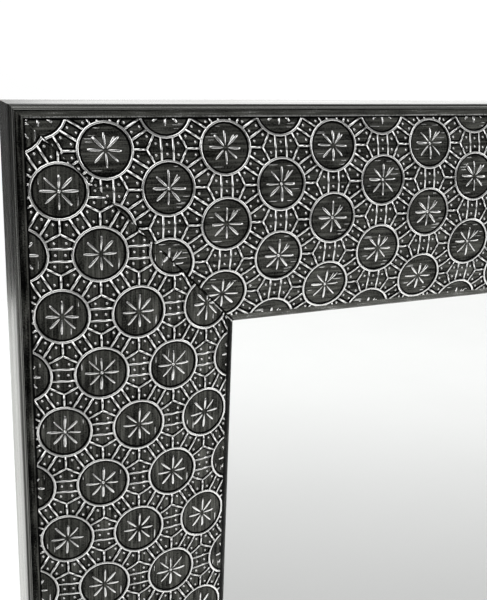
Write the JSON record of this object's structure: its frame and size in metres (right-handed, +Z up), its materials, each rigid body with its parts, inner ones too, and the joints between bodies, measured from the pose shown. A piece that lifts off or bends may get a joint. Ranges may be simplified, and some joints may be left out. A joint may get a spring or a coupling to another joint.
{
  "type": "full-length mirror",
  "caption": "Tall wall mirror in a wide, convex, mitred frame faced with embossed medallion metal, with a removable back and swinging hanging rings.",
  "frame": {"origin": "under the middle of the frame: halfway across its width, halfway between its front and the wall bumpers' backs, at the height of its bottom edge", "axes": "+Z up the mirror, +X across it to the viewer's right, +Y backwards to the wall, so the glass faces -Y"},
  "size_m": [0.7, 0.0375, 1.7],
  "materials": {
    "core_timber": "planed softwood, sawn mitres",
    "embossed_facing": "embossed sheet, black antiqued, ridges rubbed back to bright metal",
    "edge_metal": "plain satin strip, darkened",
    "mirror_silver": "float glass, silvered on the back",
    "shatter_film": "adhesive film",
    "cushion_tape": "closed-cell tape",
    "packing_foam": "thin foam sheet",
    "hardboard": "pressed board, smooth outside",
    "zinc_steel": "zinc plated",
    "nickel_steel": "nickel plated wire and strap",
    "bumper_rubber": "moulded"
  },
  "bodies": {
    "frame": {"stile_left_core": "core_timber", "stile_right_core": "core_timber", "rail_top_core": "core_timber", "rail_bottom_core": "core_timber", "stile_left_facing": "embossed_facing", "stile_right_facing": "embossed_facing", "rail_top_facing": "embossed_facing", "rail_bottom_facing": "embossed_facing", "edge_strip_left": "edge_metal", "edge_strip_right": "edge_metal", "edge_strip_top": "edge_metal", "edge_strip_bottom": "edge_metal", "mirror_glass": "mirror_silver", "shatter_film": "shatter_film", "rebate_tape": "cushion_tape", "setting_blocks": "cushion_tape", "foam_packing": "packing_foam", "backing_board": "hardboard", "turn_button_screws": "zinc_steel", "strap_hanger_left": "nickel_steel", "strap_hanger_right": "nickel_steel", "hanger_screws": "zinc_steel", "corner_plate_top_left": "zinc_steel", "corner_plate_top_right": "zinc_steel", "corner_plate_bottom_left": "zinc_steel", "corner_plate_bottom_right": "zinc_steel", "corner_screws": "zinc_steel", "v_nails": "zinc_steel", "edge_strip_tacks": "zinc_steel", "wall_bumpers": "bumper_rubber", "bumper_screws": "zinc_steel"},
    "d_ring_left": {"d_ring_left": "nickel_steel"},
    "d_ring_right": {"d_ring_right": "nickel_steel"},
    "turn_button_left_low": {"turn_button_left_low": "zinc_steel"},
    "turn_button_left_mid": {"turn_button_left_mid": "zinc_steel"},
    "turn_button_left_high": {"turn_button_left_high": "zinc_steel"},
    "turn_button_right_low": {"turn_button_right_low": "zinc_steel"},
    "turn_button_right_mid": {"turn_button_right_mid": "zinc_steel"},
    "turn_button_right_high": {"turn_button_right_high": "zinc_steel"},
    "turn_button_top": {"turn_button_top": "zinc_steel"},
    "turn_button_bottom": {"turn_button_bottom": "zinc_steel"}
  },
  "joints": [
    {"name": "ring_swing_left", "type": "hinge", "parent": "frame", "child": "d_ring_left", "pos_m": [-0.305, 0.01435, 1.28], "axis": [1, 0, 0], "range_deg": [0, 180]},
    {"name": "ring_swing_right", "type": "hinge", "parent": "frame", "child": "d_ring_right", "pos_m": [0.305, 0.01435, 1.28], "axis": [1, 0, 0], "range_deg": [0, 180]},
    {"name": "button_turn_left_low", "type": "hinge", "parent": "frame", "child": "turn_button_left_low", "pos_m": [-0.269, 0.01075, 0.35], "axis": [0, 1, 0], "continuous": true},
    {"name": "button_turn_left_mid", "type": "hinge", "parent": "frame", "child": "turn_button_left_mid", "pos_m": [-0.269, 0.01075, 0.85], "axis": [0, 1, 0], "continuous": true},
    {"name": "button_turn_left_high", "type": "hinge", "parent": "frame", "child": "turn_button_left_high", "pos_m": [-0.269, 0.01075, 1.35], "axis": [0, 1, 0], "continuous": true},
    {"name": "button_turn_right_low", "type": "hinge", "parent": "frame", "child": "turn_button_right_low", "pos_m": [0.269, 0.01075, 0.35], "axis": [0, 1, 0], "continuous": true},
    {"name": "button_turn_right_mid", "type": "hinge", "parent": "frame", "child": "turn_button_right_mid", "pos_m": [0.269, 0.01075, 0.85], "axis": [0, 1, 0], "continuous": true},
    {"name": "button_turn_right_high", "type": "hinge", "parent": "frame", "child": "turn_button_right_high", "pos_m": [0.269, 0.01075, 1.35], "axis": [0, 1, 0], "continuous": true},
    {"name": "button_turn_top", "type": "hinge", "parent": "frame", "child": "turn_button_top", "pos_m": [0, 0.01075, 1.619], "axis": [0, 1, 0], "continuous": true},
    {"name": "button_turn_bottom", "type": "hinge", "parent": "frame", "child": "turn_button_bottom", "pos_m": [0, 0.01075, 0.081], "axis": [0, 1, 0], "continuous": true}
  ]
}
